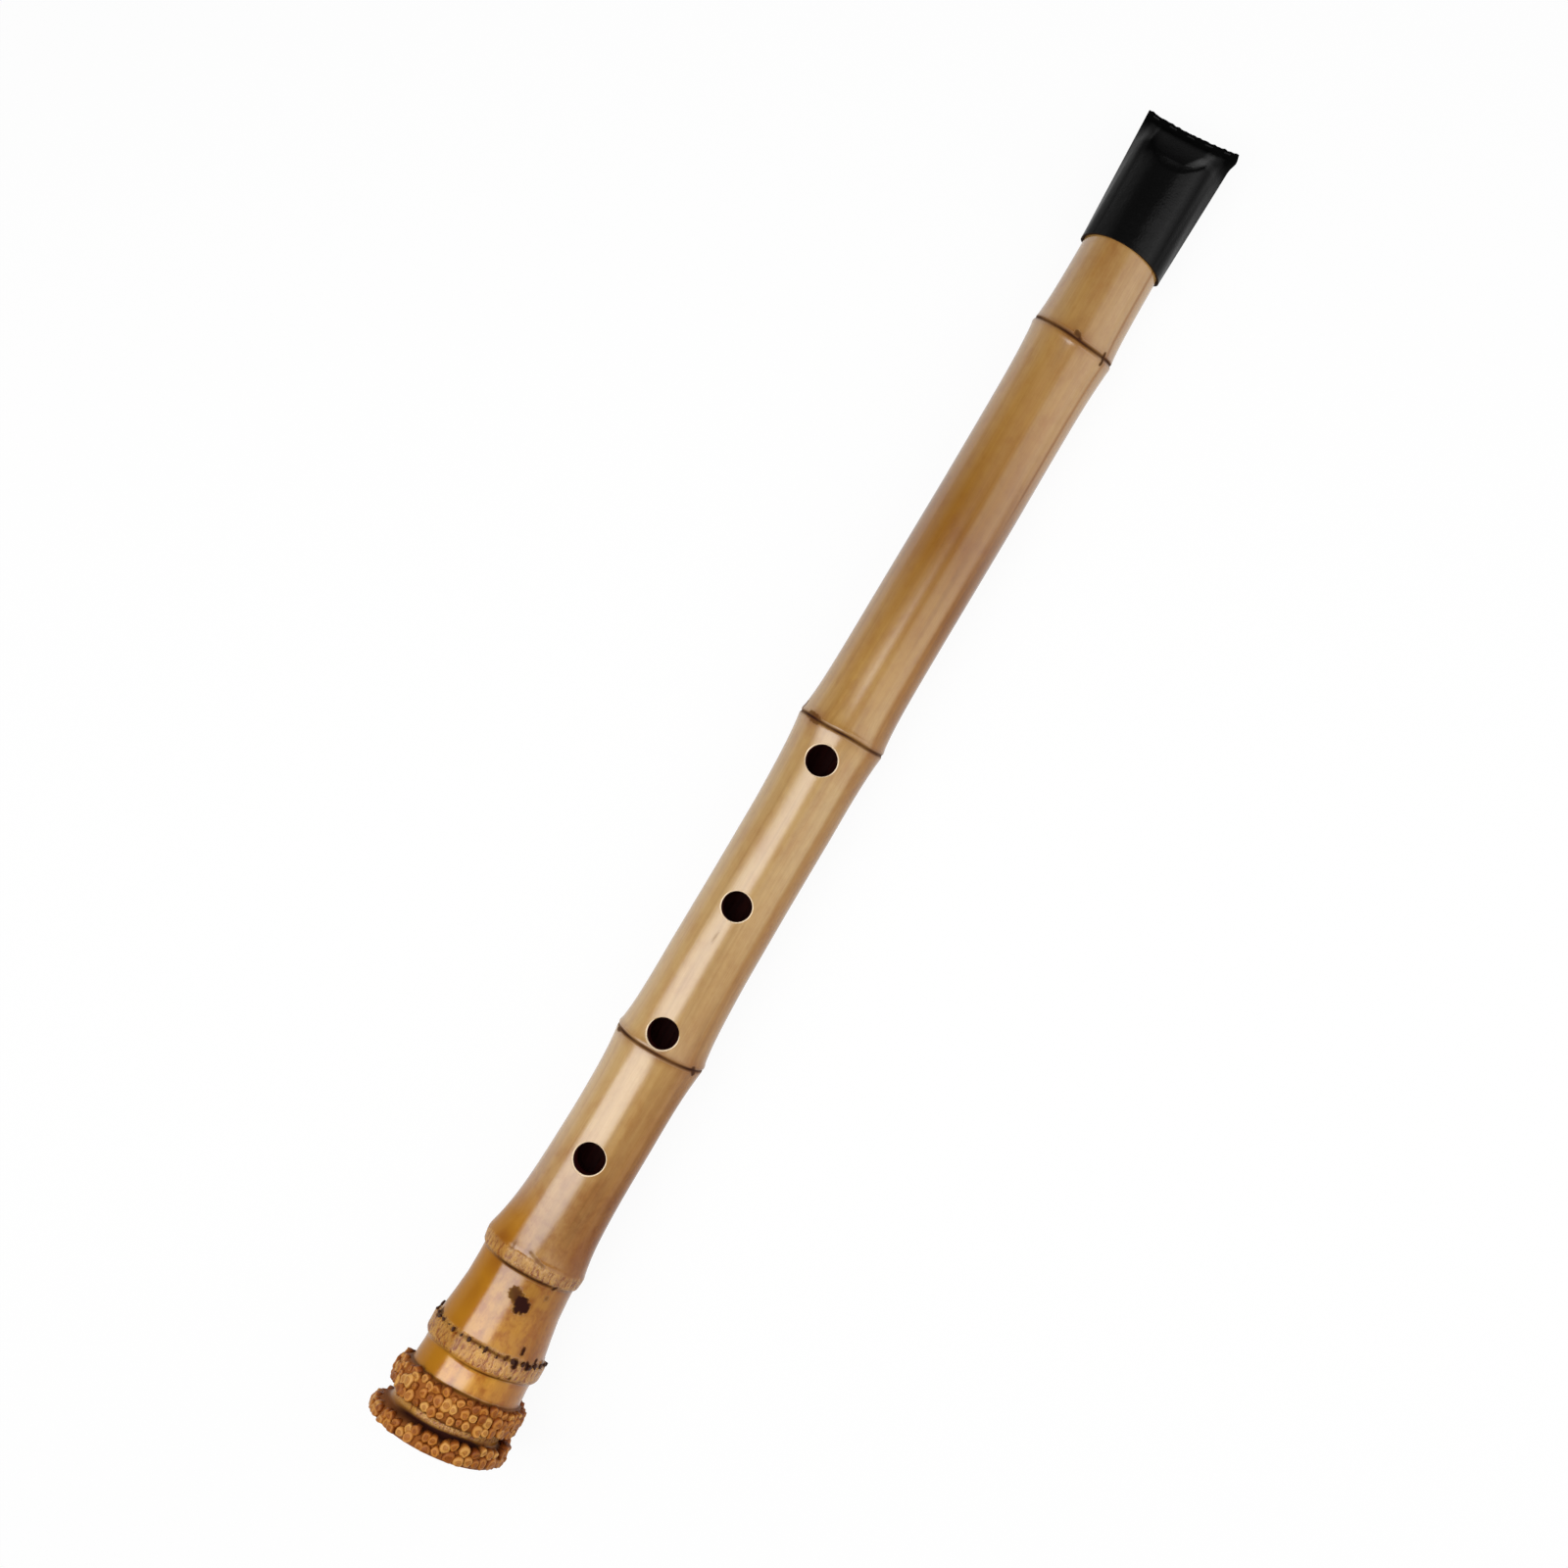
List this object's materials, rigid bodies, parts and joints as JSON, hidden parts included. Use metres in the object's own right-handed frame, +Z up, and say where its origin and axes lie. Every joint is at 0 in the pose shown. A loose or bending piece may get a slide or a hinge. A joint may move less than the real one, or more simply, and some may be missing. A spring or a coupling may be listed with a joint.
{
  "type": "shakuhachi",
  "caption": "End-blown bamboo flute with knobbly root end, finger holes, lacquered bore, horn blowing edge and a black leather slip-on cap.",
  "frame": {"origin": "centre of the overall box on the surface that the flute lies on", "axes": "+X runs from the root end towards the capped mouth end, +Z is up through the finger holes, the flute lies on its back"},
  "size_m": [0.561, 0.0546, 0.0554],
  "materials": {
    "bamboo": "polished natural skin, honey brown",
    "lacquer": "glossy dark red-brown lacquer",
    "horn": "polished dark horn",
    "cap_leather": "black, smooth, half gloss",
    "thread": "black waxed thread"
  },
  "bodies": {
    "flute": {"bamboo_culm": "bamboo", "bore_lacquer_coat": "lacquer", "blowing_edge_inlay": "horn"},
    "cap": {"cap_front_panel": "cap_leather", "cap_back_panel": "cap_leather", "cap_seam_thread": "thread"}
  },
  "joints": [
    {"name": "cap_pull", "type": "slide", "parent": "flute", "child": "cap", "axis": [0.9999, 0, -0.0145], "range_m": [0, 0.06]}
  ]
}
